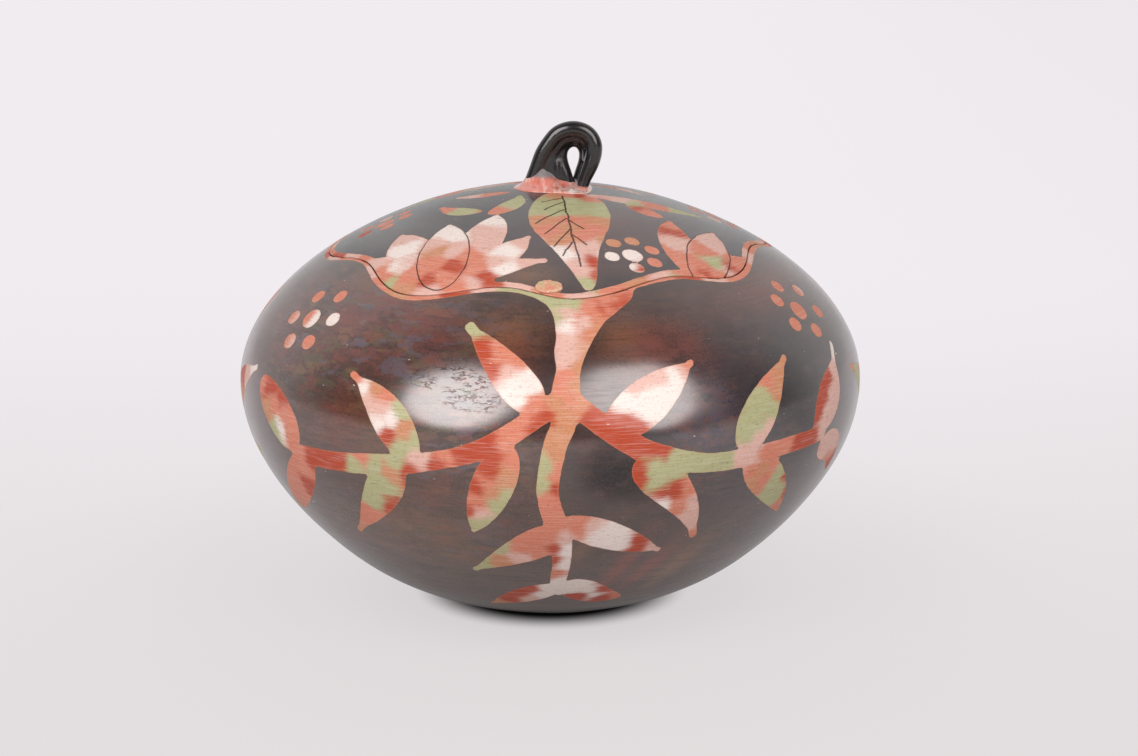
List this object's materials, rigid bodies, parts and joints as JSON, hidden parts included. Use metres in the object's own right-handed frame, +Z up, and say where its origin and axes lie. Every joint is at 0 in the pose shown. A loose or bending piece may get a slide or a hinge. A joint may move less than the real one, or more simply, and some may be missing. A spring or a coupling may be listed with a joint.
{
  "type": "lidded pottery jar",
  "caption": "Round-bellied clay jar with a domed lid cut from its crown along a scalloped seam, and a small looped coil handle.",
  "frame": {"origin": "centre of the flat resting face under the jar", "axes": "+Z up along the jar's axis; -Y is the front seen in the picture; +X is to the right seen from the front"},
  "size_m": [0.2, 0.2, 0.1559],
  "materials": {
    "painted_shell": "burnished, smoke-darkened fired clay with painted slip; stands in for earthenware",
    "painted_lid": "burnished, smoke-darkened fired clay with painted slip; stands in for earthenware",
    "collar_slip": "polished red, pink and cream slip; stands in for earthenware",
    "handle_clay": "highly polished black clay; stands in for earthenware",
    "pad_clay": "unpolished clay with slip; stands in for earthenware"
  },
  "bodies": {
    "jar": {"jar_body": "painted_shell"},
    "lid": {"lid": "painted_lid", "handle_collar": "collar_slip", "handle_front_coil": "handle_clay", "handle_back_coil": "handle_clay", "alignment_pad": "pad_clay"}
  },
  "joints": [
    {"name": "lid_lift", "type": "slide", "parent": "jar", "child": "lid", "axis": [0, 0, 1], "range_m": [0, 0.12]}
  ]
}
